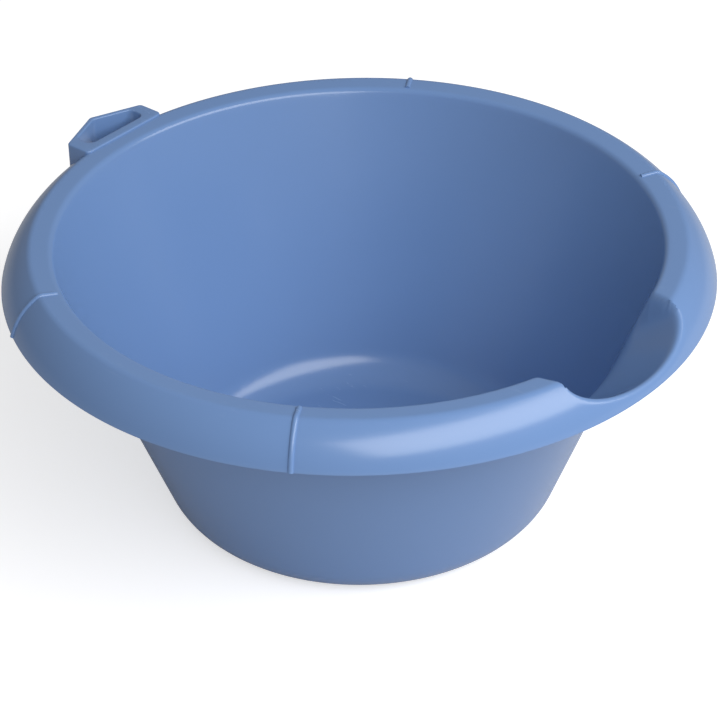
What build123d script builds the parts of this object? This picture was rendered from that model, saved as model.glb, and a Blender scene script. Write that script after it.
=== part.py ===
"""Round wash basin with a pouring lip and a hanging eye, moulded in polypropylene.

Origin: centre of the underside, on the surface that the basin stands on. +Z is up,
the pouring lip points along +X and the hanging eye along -X. Sizes are in millimetres.
The basin is one moulding. Its regions are separate solids that meet face to face.
"""

from math import asin, atan2, cos, degrees, hypot, radians, sin, tan
import os

from build123d import *

# Bowl
height = 163.0          # floor to the crest of the rim
foot_dia = 207.0        # outer wall carried straight down to the floor
mouth_dia = 324.0       # inner wall carried straight up to the crest
wall = 2.2              # thickness of the moulding everywhere
foot_radius = 26.0      # outer corner between the floor and the wall
mouth_radius = 4.0      # inner wall rolling over into the crest

# Rim
crest_width = 12.0      # from the mouth to where the crest turns down into the skirt
crest_rise = 1.0        # the crest climbs this much from the mouth outwards
crease_radius = 5.0     # between the crest and the skirt
skirt_width = 16.0      # the skirt reaches this far out from the crest
skirt_drop = 21.5       # crest to the lower edge of the skirt
skirt_bulge = 2.6       # rise of the skirt's curve over its chord
crest_depth = 8.0       # upper strip of the wall that belongs to the crest ring

# Pouring lip: a trough with a half-elliptical floor that rises outwards
lip_width = 93.0        # across the trough
trough_hollow = 24.0    # floor of the trough below its straight sides
lip_drop = 14.4         # crest down to the lip's lowest point
lip_inset = 1.6         # the lip's lowest point is this far inside the skirt's lower edge
trough_drop = 50.0      # crest down to where the trough leaves the wall
lip_margin = 3.0        # degrees of rim on each side that belong to the lip
lip_seat = 7.0          # wall below the trough that belongs to the lip

# Hanging eye, its reaches measured outwards from the edge of the crest
eye_width = 59.6        # across its straight sides
eye_side_reach = 13.4   # to the ends of the straight sides
eye_point_reach = 25.2
eye_depth = 17.0        # height of its side walls
eye_rise = 1.0          # its top stands above the crest
eye_corner = 3.0        # rounding of its upright corners
slot_width = 43.0
slot_near_reach = 3.2   # to the slot's long straight side
slot_side_reach = 13.6  # to the ends of the slot's short sides
slot_point_reach = 22.0
slot_corner = 4.5
slot_collar = 2.6       # thickness of the wall round the slot

# Raised beads across the rim
bead_angles = (60, 120, 240, 300)
bead_radius = 1.6
bead_rise = 1.1

# Derived places
mouth_r = mouth_dia / 2
crest_r = mouth_r + crest_width
rim_r = crest_r + skirt_width
mouth_z = height - crest_rise
skirt_z = height - skirt_drop
mouth_out = mouth_r - foot_dia / 2
wall_slope = atan2(mouth_out, mouth_z) + asin(wall / hypot(mouth_out, mouth_z))
foot_top = foot_radius * (1 - sin(wall_slope))
inner_foot_r = foot_dia / 2 + wall * tan(wall_slope) - wall / cos(wall_slope)
wall_top = height - crest_depth
trough_foot_r = mouth_r - (trough_drop - crest_rise) * tan(wall_slope)
trough_rise = atan2(trough_drop - lip_drop, rim_r - lip_inset - trough_foot_r)
lip_bottom = height - trough_drop - lip_seat
lip_half_angle = degrees(asin(lip_width / 2 / mouth_r)) + lip_margin
eye_plane = Plane(origin=(0, 0, height + eye_rise), x_dir=(-1, 0, 0), z_dir=(0, 0, 1))
clear = 2 * rim_r       # longer than any cut needs to be


def skin_line():
    """The side of the section that water and hands touch: floor, wall, crest and skirt."""
    with BuildLine() as line:
        FilletPolyline(
            (0, wall),
            (inner_foot_r, wall),
            (mouth_r, mouth_z),
            (crest_r, height),
            radius=(foot_radius - wall, mouth_radius),
        )
        SagittaArc((crest_r, height), (rim_r, skirt_z), skirt_bulge)
        crease = line.vertices().sort_by_distance((crest_r, height))[0]
        fillet(crease, crease_radius)
    return line.wires()[0]


def make_shell():
    """The whole basin without its lip and eye: one wall turned about the axis."""
    with BuildPart() as shell:
        with BuildSketch(Plane.XZ):
            with BuildLine():
                add(skin_line())
                offset(amount=wall, side=Side.RIGHT, closed=True)
            make_face()
        revolve(axis=Axis.Z)
    return shell.part


def make_air():
    """Everything above the skin, out past the rim: what the bowl, lip and beads stand in."""
    with BuildPart() as air:
        with BuildSketch(Plane.XZ):
            with BuildLine():
                add(skin_line())
                Polyline((rim_r, skirt_z), (clear, skirt_z), (clear, clear), (0, clear), (0, wall))
            make_face()
        revolve(axis=Axis.Z)
    return air.part


def make_trough(gap):
    """The trough of the lip as a solid, larger all round by a gap."""
    floor = Vector(trough_foot_r, 0, height - trough_drop)
    along = Vector(cos(trough_rise), 0, sin(trough_rise))
    half = lip_width / 2 + gap
    with BuildPart() as trough:
        # Local x runs across the lip and local y up, square to the trough's floor.
        with BuildSketch(Plane(origin=floor - along * trough_drop, x_dir=(0, 1, 0), z_dir=along)):
            with Locations((0, trough_hollow)):
                Ellipse(half, trough_hollow + gap)
                Rectangle(2 * half, trough_drop, align=(Align.CENTER, Align.MIN))
        extrude(amount=clear / 2)
    return trough.part


def make_lip_zone():
    """The part of space that holds the lip's region: a wedge about +X above the bowl's wall."""
    half = radians(lip_half_angle)
    with BuildPart() as zone:
        with BuildSketch(Plane.XY.offset(lip_bottom)):
            with BuildLine():
                Polyline(
                    (0, 0),
                    (clear * cos(half), -clear * sin(half)),
                    (clear * cos(half), clear * sin(half)),
                    close=True,
                )
            make_face()
        extrude(amount=clear)
    return zone.part


def eye_outline():
    """Five-sided outline of the eye, seen from above, with its root inside the rim."""
    half = eye_width / 2
    side = crest_r + eye_side_reach
    point = crest_r + eye_point_reach
    with BuildSketch() as outline:
        with BuildLine():
            Polyline((0, -half), (side, -half), (point, 0), (side, half), (0, half), close=True)
        make_face()
        fillet(outline.vertices().filter_by_position(Axis.X, side, point), eye_corner)
    return outline.sketch


def slot_outline():
    """Five-sided outline of the slot in the eye, parallel to the eye's own outline."""
    half = slot_width / 2
    near = crest_r + slot_near_reach
    side = crest_r + slot_side_reach
    point = crest_r + slot_point_reach
    with BuildSketch() as outline:
        with BuildLine():
            Polyline((near, -half), (side, -half), (point, 0), (side, half), (near, half), close=True)
        make_face()
        fillet(outline.vertices(), slot_corner)
    return outline.sketch


def make_base():
    """Flat floor and the rounded corner round it, up to where the straight wall starts."""
    with BuildPart() as base:
        add(shell)
        split(bisect_by=Plane.XY.offset(foot_top), keep=Keep.BOTTOM)
    return base


def make_side_wall():
    """The conical wall, without the part that belongs to the lip."""
    with BuildPart() as side_wall:
        with BuildSketch(Plane.XY.offset(foot_top)):
            Circle(crest_r)
        extrude(amount=wall_top - foot_top)
        add(shell, mode=Mode.INTERSECT)
        add(lip_zone, mode=Mode.SUBTRACT)
    return side_wall


def make_rim_crest():
    """The flat crest and the strip of wall under it, all round but for the lip."""
    with BuildPart() as rim_crest:
        with BuildSketch(Plane.XY.offset(wall_top)):
            Circle(crest_r)
        extrude(amount=clear)
        add(shell, mode=Mode.INTERSECT)
        add(lip_zone, mode=Mode.SUBTRACT)
    return rim_crest


def make_rim_skirt():
    """The curved skirt outside the crest, all round but for the lip and the eye."""
    with BuildPart() as rim_skirt:
        add(shell)
        with BuildSketch():
            Circle(crest_r)
        extrude(amount=clear, mode=Mode.SUBTRACT)
        with BuildSketch():
            with Locations((-clear / 2, 0)):
                Rectangle(clear, eye_width)
        extrude(amount=clear, mode=Mode.SUBTRACT)
        add(lip_zone, mode=Mode.SUBTRACT)
    return rim_skirt


def make_pouring_lip():
    """Rim and wall about +X, cut by the trough, with the trough's own wall under it."""
    with BuildPart() as pouring_lip:
        add(shell)
        add(make_trough(wall))
        add(make_trough(0), mode=Mode.SUBTRACT)
        add(air, mode=Mode.SUBTRACT)
        with BuildSketch(Plane.XY.offset(-clear)):
            Circle(rim_r)
        extrude(amount=2 * clear, mode=Mode.INTERSECT)
        add(lip_zone, mode=Mode.INTERSECT)
    return pouring_lip


def make_hanging_eye():
    """Hood with side walls and a slot right through it, open below."""
    outline = eye_outline()
    slot = slot_outline()
    with BuildPart() as hanging_eye:
        with BuildSketch(eye_plane):
            add(outline)
        extrude(amount=-eye_depth)
        with BuildSketch(eye_plane.offset(-wall - eye_rise)):
            add(outline)
            offset(amount=-wall, kind=Kind.INTERSECTION, mode=Mode.REPLACE)
            with BuildSketch(mode=Mode.PRIVATE) as collar:
                add(slot)
                offset(amount=slot_collar, mode=Mode.REPLACE)
            add(collar.sketch, mode=Mode.SUBTRACT)
        extrude(amount=-eye_depth, mode=Mode.SUBTRACT)
        with BuildSketch(eye_plane):
            add(slot)
        extrude(amount=-eye_depth, mode=Mode.SUBTRACT)
        with BuildSketch():
            Circle(crest_r)
        extrude(amount=clear, mode=Mode.SUBTRACT)
    return hanging_eye


def make_bead():
    """One raised bead on +X, from the mouth over the crest to the skirt's lower edge."""
    with BuildPart() as bead:
        rim_top = Wire(skin_line().edges().sort_by(Axis.X)[-3:])
        run = Plane.XZ.from_local_coords(rim_top)
        with BuildSketch(Plane(origin=run @ 0, x_dir=(0, 1, 0), z_dir=run % 0)):
            with Locations((0, bead_rise - bead_radius)):
                Circle(bead_radius)
            Rectangle(clear, clear, align=(Align.CENTER, Align.MAX), mode=Mode.SUBTRACT)
        sweep(path=run)
    return bead.part


def save(piece, name):
    """Label a sub-part and write its file."""
    piece.part.label = name
    export_step(piece.part, f"parts/{name}.step")


os.makedirs("parts", exist_ok=True)
shell = make_shell()
air = make_air()
lip_zone = make_lip_zone()
save(make_base(), "base")
save(make_side_wall(), "side_wall")
save(make_rim_crest(), "rim_crest")
save(make_rim_skirt(), "rim_skirt")
save(make_pouring_lip(), "pouring_lip")
save(make_hanging_eye(), "hanging_eye")
bead_on_x = make_bead()
for number, angle in enumerate(bead_angles, start=1):
    with BuildPart() as rim_bead:
        add(bead_on_x, rotation=(0, 0, angle))
    save(rim_bead, f"rim_bead_{number}")
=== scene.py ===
from math import asin, atan2, cos, hypot, pi, radians, sin, tan

import bmesh
import bpy
from mathutils import Matrix, Vector


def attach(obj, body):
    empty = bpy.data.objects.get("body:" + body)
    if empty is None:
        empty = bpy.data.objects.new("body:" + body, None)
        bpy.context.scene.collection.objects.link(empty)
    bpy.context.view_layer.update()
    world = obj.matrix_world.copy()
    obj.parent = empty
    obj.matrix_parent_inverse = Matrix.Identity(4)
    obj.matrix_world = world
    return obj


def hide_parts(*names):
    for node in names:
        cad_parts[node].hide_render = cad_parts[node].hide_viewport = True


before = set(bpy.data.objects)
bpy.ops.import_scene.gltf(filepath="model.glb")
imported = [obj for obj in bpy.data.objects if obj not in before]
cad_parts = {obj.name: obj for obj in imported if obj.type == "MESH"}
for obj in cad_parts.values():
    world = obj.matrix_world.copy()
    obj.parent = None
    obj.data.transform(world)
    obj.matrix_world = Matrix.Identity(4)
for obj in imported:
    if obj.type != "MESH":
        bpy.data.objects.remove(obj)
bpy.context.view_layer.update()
scene = bpy.context.scene
print("frame loaded:", ", ".join(sorted(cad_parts)))

# sizes shared by the pieces, in metres
basin = {
    "height": 0.163,
    "footRadius": 0.1035,       # outer wall carried down to the floor
    "mouthRadius": 0.162,       # inner wall carried up to the crest
    "wall": 0.0022,
    "footCorner": 0.026,
    "mouthCorner": 0.004,
    "crestWidth": 0.012,
    "crestRise": 0.001,
    "creaseRadius": 0.005,
    "skirtWidth": 0.016,
    "skirtDrop": 0.0215,
    "skirtBulge": 0.0026,
    "finerFrom": 0.135,         # above this radius the wall has closer rings
    "lowerEdge": 0.0005,        # rounding of the skirt's lower edge
    "edgeAngle": 65,
    "shadeAngle": 42,
}
sectionSteps = {
    "floor": 10, "footCorner": 12, "lowWall": 12, "highWall": 26, "mouth": 7, "crest": 7,
    "crease": 6, "skirt": 22,
}
crestRadius = basin["mouthRadius"] + basin["crestWidth"]
rimRadius = crestRadius + basin["skirtWidth"]
mouthHeight = basin["height"] - basin["crestRise"]


def spread(a, b, count):
    # count points from a to b, a left out
    return [(a[0] + (b[0] - a[0]) * k / count, a[1] + (b[1] - a[1]) * k / count)
            for k in range(1, count + 1)]


def roundCorner(before, corner, after, radius, count):
    # points of the arc that rounds a corner of a line
    inward = Vector(before) - Vector(corner)
    outward = Vector(after) - Vector(corner)
    inward.normalize()
    outward.normalize()
    half = inward.angle(outward) / 2
    centre = Vector(corner) + (inward + outward).normalized() * radius / sin(half)
    start = Vector(corner) + inward * radius / tan(half) - centre
    end = Vector(corner) + outward * radius / tan(half) - centre
    first = atan2(start.y, start.x)
    turn = atan2(start.x * end.y - start.y * end.x, start.dot(end))
    return [(centre.x + radius * cos(first + turn * k / count),
             centre.y + radius * sin(first + turn * k / count)) for k in range(count + 1)]


def skirtArc(count):
    # the skirt's curve, from the edge of the crest to its lower edge
    top = Vector((crestRadius, basin["height"]))
    low = Vector((rimRadius, basin["height"] - basin["skirtDrop"]))
    chord = low - top
    bulge = basin["skirtBulge"]
    radius = (chord.length_squared / 4 + bulge * bulge) / (2 * bulge)
    outwards = Vector((-chord.y, chord.x)).normalized()
    centre = (top + low) / 2 + outwards * (bulge - radius)
    first = atan2(top.y - centre.y, top.x - centre.x)
    last = atan2(low.y - centre.y, low.x - centre.x)
    return [(centre.x + radius * cos(first + (last - first) * k / count),
             centre.y + radius * sin(first + (last - first) * k / count)) for k in range(count + 1)]


def skinLine():
    # section of the side that water touches: floor, corner, wall, mouth, crest and skirt
    out = basin["mouthRadius"] - basin["footRadius"]
    slope = atan2(out, mouthHeight) + asin(basin["wall"] / hypot(out, mouthHeight))
    foot = (basin["footRadius"] + basin["wall"] * (tan(slope) - 1 / cos(slope)), basin["wall"])
    mouth = (basin["mouthRadius"], mouthHeight)
    crest = (crestRadius, basin["height"])
    corner = roundCorner((0, basin["wall"]), foot, mouth, basin["footCorner"] - basin["wall"],
                         sectionSteps["footCorner"])
    roll = roundCorner(foot, mouth, crest, basin["mouthCorner"], sectionSteps["mouth"])
    skirt = skirtArc(sectionSteps["skirt"])
    crease = roundCorner(mouth, crest, skirt[1], basin["creaseRadius"], sectionSteps["crease"])
    centre = (0, basin["wall"])
    points = [centre] + spread(centre, corner[0], sectionSteps["floor"]) + corner[1:]
    finer = basin["finerFrom"]
    middle = (finer, corner[-1][1] + (finer - corner[-1][0]) / tan(slope))
    points += spread(corner[-1], middle, sectionSteps["lowWall"])
    points += spread(middle, roll[0], sectionSteps["highWall"]) + roll[1:]
    points += spread(roll[-1], crease[0], sectionSteps["crest"]) + crease[1:]
    points += [p for p in skirt if p[0] > crease[-1][0] + 0.0003]
    return points


def lineObject(name, points):
    # a chain of edges in the XZ plane
    mesh = bpy.data.meshes.new(name)
    mesh.from_pydata([(r, 0, z) for r, z in points], [(k, k + 1) for k in range(len(points) - 1)], [])
    piece = bpy.data.objects.new(name, mesh)
    scene.collection.objects.link(piece)
    return piece


class NodeDesk:
    # lays nodes in a tree and joins them
    def __init__(self, tree):
        self.tree = tree
        self.column = 0

    def add(self, kind, settings=None, **inputs):
        node = self.tree.nodes.new(kind)
        self.column += 1
        node.location = (180 * (self.column % 12), -220 * (self.column // 12))
        for key, value in (settings or {}).items():
            setattr(node, key, value)
        for key, value in inputs.items():
            self.feed(node.inputs[key.replace("_", " ")], value)
        return node

    def feed(self, socket, value):
        if isinstance(value, bpy.types.NodeSocket):
            self.tree.links.new(value, socket)
        else:
            socket.default_value = value

    def math(self, operation, *values):
        node = self.add("ShaderNodeMath", {"operation": operation})
        for socket, value in zip(node.inputs, values):
            self.feed(socket, value)
        return node.outputs[0]


def newTree(name, inputs):
    # a geometry tree with one mesh in, one out, and named sizes
    tree = bpy.data.node_groups.new(name, "GeometryNodeTree")
    tree.interface.new_socket(name="Geometry", in_out="INPUT", socket_type="NodeSocketGeometry")
    for label, (kind, value) in inputs.items():
        socket = tree.interface.new_socket(name=label, in_out="INPUT", socket_type=kind)
        if value is not None:
            socket.default_value = value
    tree.interface.new_socket(name="Geometry", in_out="OUTPUT", socket_type="NodeSocketGeometry")
    return tree


def runTree(piece, tree, values, name):
    # the tree on the piece as a plain mesh, in a new object
    modifier = piece.modifiers.new(tree.name, "NODES")
    modifier.node_group = tree
    for item in tree.interface.items_tree:
        if item.in_out == "INPUT" and item.name in values:
            modifier[item.identifier] = values[item.name]
    result = bakeMesh(piece, name)
    bpy.data.objects.remove(piece)
    return result


def bakeMesh(piece, name):
    bpy.context.view_layer.update()
    graph = bpy.context.evaluated_depsgraph_get()
    mesh = bpy.data.meshes.new_from_object(piece.evaluated_get(graph), depsgraph=graph)
    mesh.name = name
    result = bpy.data.objects.new(name, mesh)
    scene.collection.objects.link(result)
    return result


# looks shared by the three plastics
plastic = {
    "blue": (0.148, 0.256, 0.488, 1.0),
    "deepBlue": (0.137, 0.242, 0.471, 1.0),
    "scuffBlue": (0.193, 0.296, 0.512, 1.0),
    "scuffRoughness": 0.46,
    "grainHeight": 0.00002,
    "sinkScale": 22.0,
    "glossSpread": 0.06,
    "refraction": 1.49,
}


def grainGroup():
    # faint unevenness of a moulded skin: flow cloud, tiny grain and soft sink marks
    group = bpy.data.node_groups.new("moulded skin", "ShaderNodeTree")
    group.interface.new_socket(name="Position", in_out="INPUT", socket_type="NodeSocketVector")
    for label, value in (("Cloud Scale", 9.0), ("Grain Scale", 900.0), ("Grain Share", 0.4)):
        socket = group.interface.new_socket(name=label, in_out="INPUT", socket_type="NodeSocketFloat")
        socket.default_value = value
    for label in ("Cloud", "Height"):
        group.interface.new_socket(name=label, in_out="OUTPUT", socket_type="NodeSocketFloat")
    desk = NodeDesk(group)
    given = desk.add("NodeGroupInput").outputs
    out = desk.add("NodeGroupOutput")
    cloud = desk.add("ShaderNodeTexNoise", None, Vector=given["Position"],
                     Scale=given["Cloud Scale"], Detail=3.0)
    grain = desk.add("ShaderNodeTexNoise", None, Vector=given["Position"],
                     Scale=given["Grain Scale"], Detail=2.0)
    sink = desk.add("ShaderNodeTexNoise", None, Vector=given["Position"],
                    Scale=plastic["sinkScale"], Detail=1.0)
    fine = desk.math("MULTIPLY", grain.outputs["Fac"], given["Grain Share"])
    desk.feed(out.inputs["Cloud"], cloud.outputs["Fac"])
    desk.feed(out.inputs["Height"], desk.math("ADD", fine, sink.outputs["Fac"]))
    return group


def scuffGroup():
    # hairline scuffs from use, stronger towards the foot and along the rim
    group = bpy.data.node_groups.new("handling scuffs", "ShaderNodeTree")
    group.interface.new_socket(name="Position", in_out="INPUT", socket_type="NodeSocketVector")
    for label, value in (("Low Edge", 0.03), ("High Edge", 0.155), ("Amount", 0.5)):
        socket = group.interface.new_socket(name=label, in_out="INPUT", socket_type="NodeSocketFloat")
        socket.default_value = value
    group.interface.new_socket(name="Mask", in_out="OUTPUT", socket_type="NodeSocketFloat")
    desk = NodeDesk(group)
    given = desk.add("NodeGroupInput").outputs
    out = desk.add("NodeGroupOutput")
    split = desk.add("ShaderNodeSeparateXYZ", None, Vector=given["Position"])
    height = split.outputs["Z"]
    low = desk.add("ShaderNodeMapRange", None, Value=height, From_Min=0.0, From_Max=given["Low Edge"],
                   To_Min=1.0, To_Max=0.0)
    high = desk.add("ShaderNodeMapRange", None, Value=height, From_Min=given["High Edge"], From_Max=0.164,
                    To_Min=0.0, To_Max=0.6)
    place = desk.math("MAXIMUM", low.outputs[0], high.outputs[0])
    stretch = desk.add("ShaderNodeMapping", None, Vector=given["Position"], Scale=(60.0, 260.0, 420.0),
                       Rotation=(0.3, 0.2, 0.7))
    lines = desk.add("ShaderNodeTexNoise", None, Vector=stretch.outputs[0], Scale=1.0,
                     Detail=4.0, Roughness=0.6)
    hair = desk.add("ShaderNodeMapRange", None, Value=lines.outputs["Fac"], From_Min=0.62, From_Max=0.72,
                    To_Min=0.0, To_Max=1.0)
    mask = desk.math("MULTIPLY", desk.math("MULTIPLY", hair.outputs[0], place), given["Amount"])
    desk.feed(out.inputs["Mask"], mask)
    return group


skinGroup = grainGroup()
wearGroup = scuffGroup()


def plasticMaterial(name, look):
    # satin polypropylene, coloured through
    material = bpy.data.materials.new(name)
    material.use_nodes = True
    material.node_tree.nodes.clear()
    desk = NodeDesk(material.node_tree)
    place = desk.add("ShaderNodeTexCoord").outputs["Object"]
    skin = desk.add("ShaderNodeGroup", {"node_tree": skinGroup}, Position=place,
                    Cloud_Scale=look["cloudScale"], Grain_Scale=look["grainScale"],
                    Grain_Share=look["grainShare"])
    wear = desk.add("ShaderNodeGroup", {"node_tree": wearGroup}, Position=place, Low_Edge=look["lowEdge"],
                    High_Edge=look["highEdge"], Amount=look["wear"])
    tone = desk.add("ShaderNodeMix", {"data_type": "RGBA"})
    desk.feed(tone.inputs[0], skin.outputs["Cloud"])
    desk.feed(tone.inputs[6], plastic["deepBlue"])
    desk.feed(tone.inputs[7], plastic["blue"])
    worn = desk.add("ShaderNodeMix", {"data_type": "RGBA"})
    desk.feed(worn.inputs[0], wear.outputs["Mask"])
    desk.feed(worn.inputs[6], tone.outputs[2])
    desk.feed(worn.inputs[7], plastic["scuffBlue"])
    rough = desk.add("ShaderNodeMapRange", None, Value=wear.outputs["Mask"], To_Min=look["roughness"],
                     To_Max=plastic["scuffRoughness"])
    unevenness = desk.math("SUBTRACT", skin.outputs["Cloud"], 0.5)
    gloss = desk.math("MULTIPLY_ADD", unevenness, plastic["glossSpread"], rough.outputs[0])
    bump = desk.add("ShaderNodeBump", None, Height=skin.outputs["Height"], Strength=1.0,
                    Distance=plastic["grainHeight"] * look["relief"])
    shader = desk.add("ShaderNodeBsdfPrincipled")
    desk.feed(shader.inputs["Base Color"], worn.outputs[2])
    desk.feed(shader.inputs["Roughness"], gloss)
    desk.feed(shader.inputs["Normal"], bump.outputs[0])
    shader.inputs["IOR"].default_value = plastic["refraction"]
    out = desk.add("ShaderNodeOutputMaterial")
    desk.feed(out.inputs["Surface"], shader.outputs[0])
    return material


bowlPlastic = plasticMaterial("bowl plastic", {
    "cloudScale": 9.0, "grainScale": 900.0, "grainShare": 0.25, "lowEdge": 0.03, "highEdge": 0.155,
    "wear": 0.35, "roughness": 0.22, "relief": 1.0})
eyePlastic = plasticMaterial("eye plastic", {
    "cloudScale": 14.0, "grainScale": 900.0, "grainShare": 0.3, "lowEdge": 0.01, "highEdge": 0.158,
    "wear": 0.45, "roughness": 0.24, "relief": 1.0})
beadPlastic = plasticMaterial("bead plastic", {
    "cloudScale": 20.0, "grainScale": 900.0, "grainShare": 0.3, "lowEdge": 0.01, "highEdge": 0.15,
    "wear": 0.6, "roughness": 0.24, "relief": 1.0})
print("plastics mixed")


# bowl: a turned skin with the pouring lip pressed into it
lip = {
    "halfWidth": 0.0465,
    "hollow": 0.024,            # floor of the trough below its straight sides
    "startRadius": 0.1436,
    "startHeight": 0.113,
    "rise": radians(38.47),
    "shoulderBlend": 0.016,     # soft edge between wall and trough
    "edgeBlend": 0.010,         # rounding of the lip's own edge
    "stepsRound": 430,
    "closeness": 0.36,          # below 1, the steps crowd towards the lip
    "sideSteepness": 5.0,       # climb of the trough's floor beyond its half width
    "backSteepness": 10.0,      # climb behind the gate, so that only one side has a lip
    "gate": 0.09,
    "blendFrom": 0.158,         # from this radius to the next the wide blend becomes the narrow one
    "blendTo": 0.172,
    "weld": 0.00002,
}


def turnedTree():
    tree = newTree("turned basin", {
        "Steps Round": ("NodeSocketInt", lip["stepsRound"]),
        "Closeness": ("NodeSocketFloat", lip["closeness"]),
        "Lip Half Width": ("NodeSocketFloat", lip["halfWidth"]),
        "Trough Hollow": ("NodeSocketFloat", lip["hollow"]),
        "Trough Start": ("NodeSocketFloat", lip["startRadius"]),
        "Trough Height": ("NodeSocketFloat", lip["startHeight"]),
        "Trough Rise": ("NodeSocketFloat", lip["rise"]),
        "Shoulder Blend": ("NodeSocketFloat", lip["shoulderBlend"]),
        "Edge Blend": ("NodeSocketFloat", lip["edgeBlend"]),
        "Material": ("NodeSocketMaterial", None),
    })
    desk = NodeDesk(tree)
    given = desk.add("NodeGroupInput").outputs
    line = given["Geometry"]
    rings = desk.add("GeometryNodeAttributeDomainSize", None, Geometry=line).outputs["Point Count"]
    grid = desk.add("GeometryNodeMeshGrid", None, Vertices_X=given["Steps Round"], Vertices_Y=rings)
    index = desk.add("GeometryNodeInputIndex").outputs[0]
    step = desk.math("FLOOR", desk.math("DIVIDE", desk.math("ADD", index, 0.5), rings))
    ring = desk.math("SUBTRACT", index, desk.math("MULTIPLY", step, rings))
    sample = desk.add("GeometryNodeSampleIndex", {"data_type": "FLOAT_VECTOR", "domain": "POINT"},
                      Geometry=line)
    desk.feed([s for s in sample.inputs if s.name == "Value" and s.enabled][0],
              desk.add("GeometryNodeInputPosition").outputs[0])
    desk.feed(sample.inputs["Index"], ring)
    section = desk.add("ShaderNodeSeparateXYZ", None, Vector=sample.outputs[0])
    radius, height = section.outputs["X"], section.outputs["Z"]
    # steps from -1 to 1 crowd near 0, where the lip is
    share = desk.math("DIVIDE", step, desk.math("SUBTRACT", given["Steps Round"], 1.0))
    share = desk.math("MULTIPLY_ADD", share, 2.0, -1.0)
    cube = desk.math("MULTIPLY", share, desk.math("MULTIPLY", share, share))
    slow = desk.math("MULTIPLY", share, given["Closeness"])
    fast = desk.math("MULTIPLY", cube, desk.math("SUBTRACT", 1.0, given["Closeness"]))
    angle = desk.math("MULTIPLY", desk.math("ADD", slow, fast), pi)
    x = desk.math("MULTIPLY", radius, desk.math("COSINE", angle))
    y = desk.math("MULTIPLY", radius, desk.math("SINE", angle))
    # height of the trough's floor over this place
    across = desk.math("DIVIDE", desk.math("ABSOLUTE", y), given["Lip Half Width"])
    inside = desk.math("MAXIMUM", desk.math("SUBTRACT", 1.0, desk.math("MULTIPLY", across, across)), 0.0)
    dish = desk.math("SUBTRACT", 1.0, desk.math("SQRT", inside))
    dish = desk.math("DIVIDE", desk.math("MULTIPLY", dish, given["Trough Hollow"]),
                     desk.math("COSINE", given["Trough Rise"]))
    outside = desk.math("SUBTRACT", desk.math("ABSOLUTE", y), given["Lip Half Width"])
    beyond = desk.math("MAXIMUM", outside, 0.0)
    run = desk.math("MULTIPLY", desk.math("SUBTRACT", x, given["Trough Start"]),
                    desk.math("TANGENT", given["Trough Rise"]))
    floor = desk.math("ADD", desk.math("ADD", given["Trough Height"], run), dish)
    floor = desk.math("MULTIPLY_ADD", beyond, lip["sideSteepness"], floor)
    behind = desk.math("MAXIMUM", desk.math("SUBTRACT", lip["gate"], x), 0.0)
    floor = desk.math("MULTIPLY_ADD", behind, lip["backSteepness"], floor)
    blend = desk.add("ShaderNodeMapRange", None, Value=radius, From_Min=lip["blendFrom"],
                     From_Max=lip["blendTo"], To_Min=given["Shoulder Blend"],
                     To_Max=given["Edge Blend"])
    top = desk.math("SMOOTH_MIN", height, floor, blend.outputs[0])
    place = desk.add("ShaderNodeCombineXYZ", None, X=x, Y=y, Z=top)
    moved = desk.add("GeometryNodeSetPosition", None, Geometry=grid.outputs["Mesh"],
                     Position=place.outputs[0])
    closed = desk.add("GeometryNodeMergeByDistance", None, Geometry=moved.outputs[0],
                      Distance=lip["weld"])
    whole = desk.add("GeometryNodeRealizeInstances", None, Geometry=closed.outputs[0])
    painted = desk.add("GeometryNodeSetMaterial", None, Geometry=whole.outputs[0], Material=given["Material"])
    out = desk.add("NodeGroupOutput")
    desk.feed(out.inputs[0], painted.outputs[0])
    return tree


def faceUp(piece):
    # an open skin whose floor looks up
    mesh = bmesh.new()
    mesh.from_mesh(piece.data)
    bmesh.ops.recalc_face_normals(mesh, faces=mesh.faces)
    middle = min(mesh.faces, key=lambda f: f.calc_center_median().xy.length)
    if middle.normal.z < 0:
        bmesh.ops.reverse_faces(mesh, faces=mesh.faces)
    mesh.to_mesh(piece.data)
    mesh.free()


def smoothShade(piece, degrees):
    for polygon in piece.data.polygons:
        polygon.use_smooth = True
    piece.data.set_sharp_from_angle(angle=radians(degrees))


def makeBowl():
    skin = runTree(lineObject("skin line", skinLine()), turnedTree(), {"Material": bowlPlastic}, "bowl skin")
    faceUp(skin)
    thick = skin.modifiers.new("wall", "SOLIDIFY")
    thick.thickness = basin["wall"]
    thick.offset = -1
    thick.use_even_offset = True
    soft = skin.modifiers.new("soft lower edge", "BEVEL")
    soft.width = basin["lowerEdge"]
    soft.segments = 2
    soft.limit_method = "ANGLE"
    soft.angle_limit = radians(basin["edgeAngle"])
    room = skin.modifiers.new("room for the eye", "BOOLEAN")
    room.operation = "DIFFERENCE"
    room.solver = "EXACT"
    room.object = eyeRoom()
    bowl = bakeMesh(skin, "washBowl")
    bpy.data.objects.remove(room.object)
    bpy.data.objects.remove(skin)
    bowl.data.materials.clear()
    bowl.data.materials.append(bowlPlastic)
    smoothShade(bowl, basin["shadeAngle"])
    return bowl


# hanging eye, on -X, its reaches measured from the edge of the crest
eye = {
    "halfWidth": 0.0298,
    "sideReach": 0.0134,
    "pointReach": 0.0252,
    "depth": 0.017,
    "rise": 0.001,
    "corner": 0.003,
    "slotHalfWidth": 0.0215,
    "slotNear": 0.0032,
    "slotSide": 0.0136,
    "slotPoint": 0.0220,
    "slotCorner": 0.0045,
    "edge": 0.0009,             # rounding of its top edges
    "rootOverlap": 0.003,       # how far it runs in under the crest's edge
    "roomStart": 0.002,         # the skirt is cleared from here outwards
    "roomMargin": 0.01,
    "roomLow": 0.12,
    "roomHigh": 0.2,
}


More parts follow.
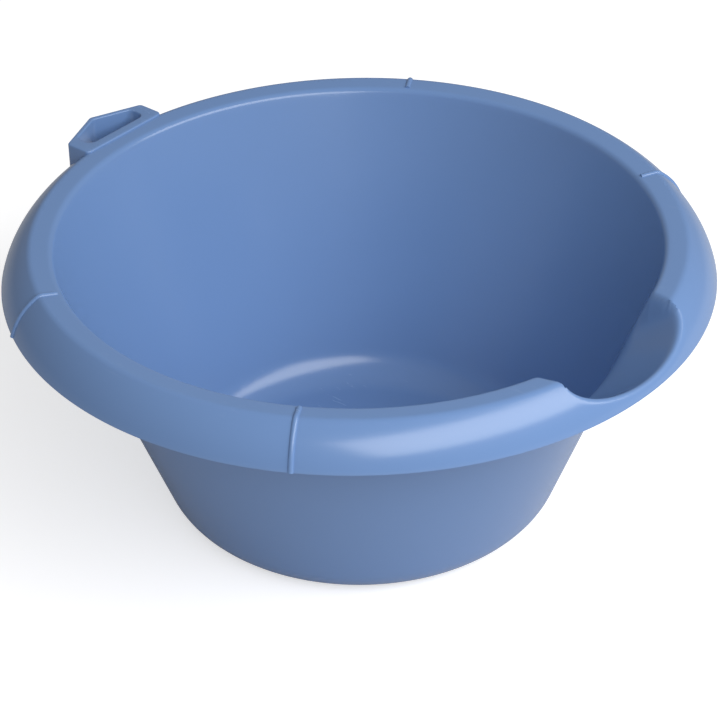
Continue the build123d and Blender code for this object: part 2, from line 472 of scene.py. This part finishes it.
def roundedLoop(corners, radius, cornerSteps, sideSteps):
    # closed outline with round corners, its steps the same for every outline of five corners
    points = []
    count = len(corners)
    for k in range(count):
        arc = roundCorner(corners[k - 1], corners[k], corners[(k + 1) % count], radius, cornerSteps)
        points += arc
        after = roundCorner(corners[k], corners[(k + 1) % count], corners[(k + 2) % count], radius,
                            cornerSteps)
        points += spread(arc[-1], after[0], sideSteps)[:-1]
    return points


def loopNormals(points):
    # unit normals of a closed outline, to its left
    count = len(points)
    normals = []
    for k in range(count):
        along = Vector(points[(k + 1) % count]) - Vector(points[k - 1])
        normals.append(Vector((-along.y, along.x)).normalized())
    return normals


def makeEye():
    root = crestRadius - eye["rootOverlap"]
    side = crestRadius + eye["sideReach"]
    outer = [(root, -eye["halfWidth"]), (side, -eye["halfWidth"]), (crestRadius + eye["pointReach"], 0),
             (side, eye["halfWidth"]), (root, eye["halfWidth"])]
    near = crestRadius + eye["slotNear"]
    far = crestRadius + eye["slotSide"]
    slot = [(near, -eye["slotHalfWidth"]), (far, -eye["slotHalfWidth"]), (crestRadius + eye["slotPoint"], 0),
            (far, eye["slotHalfWidth"]), (near, eye["slotHalfWidth"])]
    outline = roundedLoop(outer, eye["corner"], 8, 10)
    hole = roundedLoop(slot, eye["slotCorner"], 8, 10)
    outNormals = loopNormals(outline)
    holeNormals = loopNormals(hole)
    top = basin["height"] + eye["rise"]
    edge = eye["edge"]
    wall = basin["wall"]
    quarter = [k * pi / 8 for k in range(5)]
    rows = []
    for k in range(len(outline)):
        a, b = Vector(outline[k]), Vector(hole[k])
        inA, outB = outNormals[k], holeNormals[k] * -1
        deep = eye["depth"] if a.x > root + 0.004 else wall + eye["rise"]
        ring = [(a + inA * edge * 0.4, top - deep)]
        ring += [(a, top - deep + edge * 0.6)]
        ring += [(a + inA * edge * (1 - cos(t)), top - edge * (1 - sin(t))) for t in quarter]
        start, end = a + inA * edge, b + outB * edge
        ring += [(start + (end - start) * share, top) for share in (0.34, 0.67)]
        ring += [(b + outB * edge * (1 - cos(t)), top - edge * (1 - sin(t))) for t in reversed(quarter)]
        ring += [(b, top - eye["depth"] + edge * 0.6), (b + outB * edge * 0.4, top - eye["depth"])]
        gap = max((b - a).length / 2 - 0.0001, 0.0006)
        inset = min(wall, gap)
        ring += [(b + outB * inset, top - eye["depth"]), (b + outB * inset, top - wall - eye["rise"])]
        ring += [(a + inA * inset, top - wall - eye["rise"])]
        ring += [(a + inA * inset, top - deep)]
        rows.append(ring)
    mesh = bmesh.new()
    grid = [[mesh.verts.new((-p.x, -p.y, z)) for p, z in ring] for ring in rows]
    for k in range(len(grid)):
        here, there = grid[k], grid[(k + 1) % len(grid)]
        for m in range(len(here)):
            n = (m + 1) % len(here)
            mesh.faces.new((here[m], there[m], there[n], here[n]))
    bmesh.ops.remove_doubles(mesh, verts=mesh.verts, dist=0.000005)
    bmesh.ops.recalc_face_normals(mesh, faces=mesh.faces)
    data = bpy.data.meshes.new("hangingEye")
    mesh.to_mesh(data)
    mesh.free()
    piece = bpy.data.objects.new("hangingEye", data)
    scene.collection.objects.link(piece)
    piece.data.materials.append(eyePlastic)
    smoothShade(piece, 35)
    return piece


def eyeRoom():
    # the space inside the eye, cleared of the rim's skirt
    inset = basin["wall"] / 2
    half = eye["halfWidth"] - inset
    low, high = eye["roomLow"], eye["roomHigh"]
    inner, outer = crestRadius + eye["roomStart"], rimRadius + eye["roomMargin"]
    mesh = bmesh.new()
    bmesh.ops.create_cube(mesh, size=1)
    for v in mesh.verts:
        v.co = (-inner if v.co.x > 0 else -outer, half if v.co.y > 0 else -half, high if v.co.z > 0 else low)
    bmesh.ops.recalc_face_normals(mesh, faces=mesh.faces)
    data = bpy.data.meshes.new("eye room")
    mesh.to_mesh(data)
    mesh.free()
    piece = bpy.data.objects.new("eye room", data)
    scene.collection.objects.link(piece)
    return piece


# beads: one at each sixth of the rim that the lip and the eye leave free
bead = {"radius": 0.0016, "rise": 0.0011, "places": 6, "sides": 20}


def beadTree():
    tree = newTree("rim beads", {
        "Radius": ("NodeSocketFloat", bead["radius"]),
        "Rise": ("NodeSocketFloat", bead["rise"]),
        "Places": ("NodeSocketInt", bead["places"]),
        "Sides": ("NodeSocketInt", bead["sides"]),
        "Material": ("NodeSocketMaterial", None),
    })
    desk = NodeDesk(tree)
    given = desk.add("NodeGroupInput").outputs
    run = desk.add("GeometryNodeMeshToCurve", None, Mesh=given["Geometry"])
    circle = desk.add("GeometryNodeCurvePrimitiveCircle", None, Resolution=given["Sides"],
                      Radius=given["Radius"])
    rod = desk.add("GeometryNodeCurveToMesh", None, Curve=run.outputs[0], Profile_Curve=circle.outputs[0])
    desk.feed(rod.inputs["Fill Caps"], True)
    points = desk.add("GeometryNodePoints", None, Count=given["Places"])
    index = desk.add("GeometryNodeInputIndex").outputs[0]
    taken = desk.add("FunctionNodeCompare", {"data_type": "FLOAT", "operation": "LESS_THAN"})
    desk.feed(taken.inputs[0], desk.math("MODULO", index, desk.math("DIVIDE", given["Places"], 2.0)))
    desk.feed(taken.inputs[1], 0.5)
    left = desk.add("GeometryNodeDeleteGeometry", None, Selection=taken.outputs[0])
    turn = desk.add("GeometryNodeInputNamedAttribute", {"data_type": "FLOAT"}, Name="turn")
    angle = desk.math("DIVIDE", desk.math("MULTIPLY", index, 2 * pi), given["Places"])
    keep = desk.add("GeometryNodeStoreNamedAttribute", {"data_type": "FLOAT", "domain": "POINT"},
                    Geometry=points.outputs[0], Name="turn")
    desk.feed([s for s in keep.inputs if s.name == "Value" and s.enabled][0], angle)
    tree.links.new(keep.outputs[0], left.inputs["Geometry"])
    spin = desk.add("ShaderNodeCombineXYZ", None, Z=[s for s in turn.outputs if s.enabled][0])
    placed = desk.add("GeometryNodeInstanceOnPoints", None, Points=left.outputs[0], Instance=rod.outputs[0])
    turned = desk.add("FunctionNodeEulerToRotation", None, Euler=spin.outputs[0])
    tree.links.new(turned.outputs[0], placed.inputs["Rotation"])
    whole = desk.add("GeometryNodeRealizeInstances", None, Geometry=placed.outputs[0])
    painted = desk.add("GeometryNodeSetMaterial", None, Geometry=whole.outputs[0], Material=given["Material"])
    out = desk.add("NodeGroupOutput")
    desk.feed(out.inputs[0], painted.outputs[0])
    return tree


def makeBeads():
    # the rod's centre runs a little under the skin
    sink = bead["radius"] - bead["rise"]
    points = [p for p in skinLine() if p[0] > basin["mouthRadius"] + 0.0024]
    run = []
    for k, p in enumerate(points):
        along = Vector(points[min(k + 1, len(points) - 1)]) - Vector(points[max(k - 1, 0)])
        down = Vector((along.y, -along.x)).normalized()
        run.append(tuple(Vector(p) + down * sink))
    rods = runTree(lineObject("bead run", run), beadTree(), {"Material": beadPlastic}, "rimBeads")
    smoothShade(rods, 50)
    return rods


bowl = makeBowl()
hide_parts("base", "side_wall", "rim_crest", "rim_skirt", "pouring_lip")
hangingEye = makeEye()
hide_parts("hanging_eye")
beads = makeBeads()
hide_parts("rim_bead_1", "rim_bead_2", "rim_bead_3", "rim_bead_4")
for piece in (bowl, hangingEye, beads):
    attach(piece, "root")
    print("made", piece.name, "with", len(piece.data.polygons), "faces")


# floor, light and camera
studio = {
    "sky": 0.30,
    "floorGlow": 0.60,          # seen by the camera only, keeps the ground white
    "floorColour": (0.66, 0.66, 0.67, 1),
    "floorReach": 12.0,
    "softboxPower": 48.0,
    "softboxTurn": radians(-4),
    "softboxHeight": radians(42),
    "softboxAway": 1.8,
    "softboxWidth": 3.0,
    "softboxTall": 1.0,
    "cameraDistance": 1.2536,
    "cameraHeight": 0.9156,
    "cameraTurn": radians(-49.59),
    "cameraTilt": 0.5872,
    "cameraPan": -0.0002,
    "cameraRoll": -0.0166,
    "lens": 137.93,
}


def makeFloor():
    mesh = bpy.data.meshes.new("studio floor")
    reach = studio["floorReach"]
    corners = [(-reach, -reach, 0), (reach, -reach, 0), (reach, reach, 0), (-reach, reach, 0)]
    mesh.from_pydata(corners, [], [(0, 1, 2, 3)])
    floor = bpy.data.objects.new("studio floor", mesh)
    scene.collection.objects.link(floor)
    material = bpy.data.materials.new("pale floor")
    material.use_nodes = True
    material.node_tree.nodes.clear()
    desk = NodeDesk(material.node_tree)
    matt = desk.add("ShaderNodeBsdfDiffuse", None, Color=studio["floorColour"])
    glow = desk.add("ShaderNodeEmission", None, Color=(1, 1, 1, 1))
    path = desk.add("ShaderNodeLightPath")
    strength = desk.math("MULTIPLY", path.outputs["Is Camera Ray"], studio["floorGlow"])
    desk.feed(glow.inputs["Strength"], strength)
    both = desk.add("ShaderNodeAddShader")
    desk.feed(both.inputs[0], matt.outputs[0])
    desk.feed(both.inputs[1], glow.outputs[0])
    out = desk.add("ShaderNodeOutputMaterial")
    desk.feed(out.inputs["Surface"], both.outputs[0])
    mesh.materials.append(material)
    return floor


def makeWorld():
    world = bpy.data.worlds.new("studio")
    scene.world = world
    world.use_nodes = True
    world.node_tree.nodes.clear()
    desk = NodeDesk(world.node_tree)
    path = desk.add("ShaderNodeLightPath")
    direct = desk.math("MAXIMUM", path.outputs["Is Camera Ray"], path.outputs["Is Transmission Ray"])
    strength = desk.math("MULTIPLY_ADD", direct, 1.0 - studio["sky"], studio["sky"])
    sky = desk.add("ShaderNodeBackground", None, Color=(1, 1, 1, 1), Strength=strength)
    out = desk.add("ShaderNodeOutputWorld")
    desk.feed(out.inputs["Surface"], sky.outputs[0])


def areaLight(name, place, target, width, height, power):
    data = bpy.data.lights.new(name, "AREA")
    data.shape = "RECTANGLE"
    data.size = width
    data.size_y = height
    data.energy = power
    lamp = bpy.data.objects.new(name, data)
    scene.collection.objects.link(lamp)
    aim = (Vector(target) - Vector(place)).to_track_quat("-Z", "Y").to_matrix().to_4x4()
    lamp.matrix_world = Matrix.Translation(place) @ aim
    return lamp


def makeSoftbox():
    # one wide window of light, to the right of the camera and above the lip
    middle = Vector((0.03, 0, 0.13))
    rise, turn = studio["softboxHeight"], studio["softboxTurn"]
    out = Vector((cos(rise) * cos(turn), cos(rise) * sin(turn), sin(rise)))
    areaLight("softbox", middle + out * studio["softboxAway"], middle, studio["softboxWidth"],
              studio["softboxTall"], studio["softboxPower"])


def makeCamera():
    turn = studio["cameraTurn"]
    tilt, pan, roll = studio["cameraTilt"], studio["cameraPan"], studio["cameraRoll"]
    away = studio["cameraDistance"]
    place = Vector((away * cos(turn), away * sin(turn), studio["cameraHeight"]))
    heading = turn + pi - pan
    forward = Vector((cos(heading) * cos(tilt), sin(heading) * cos(tilt), -sin(tilt)))
    right = forward.cross(Vector((0, 0, 1))).normalized()
    up = right.cross(forward)
    across = right * cos(roll) + up * sin(roll)
    upright = up * cos(roll) - right * sin(roll)
    data = bpy.data.cameras.new("camera")
    data.lens = studio["lens"]
    data.sensor_width = 36.0
    data.clip_end = 50.0
    camera = bpy.data.objects.new("camera", data)
    scene.collection.objects.link(camera)
    camera.matrix_world = Matrix((
        (across.x, upright.x, -forward.x, place.x),
        (across.y, upright.y, -forward.y, place.y),
        (across.z, upright.z, -forward.z, place.z),
        (0, 0, 0, 1)))
    scene.camera = camera


floor = makeFloor()
makeWorld()
makeCamera()
makeSoftbox()
scene.view_settings.view_transform = "Standard"
print("studio set")
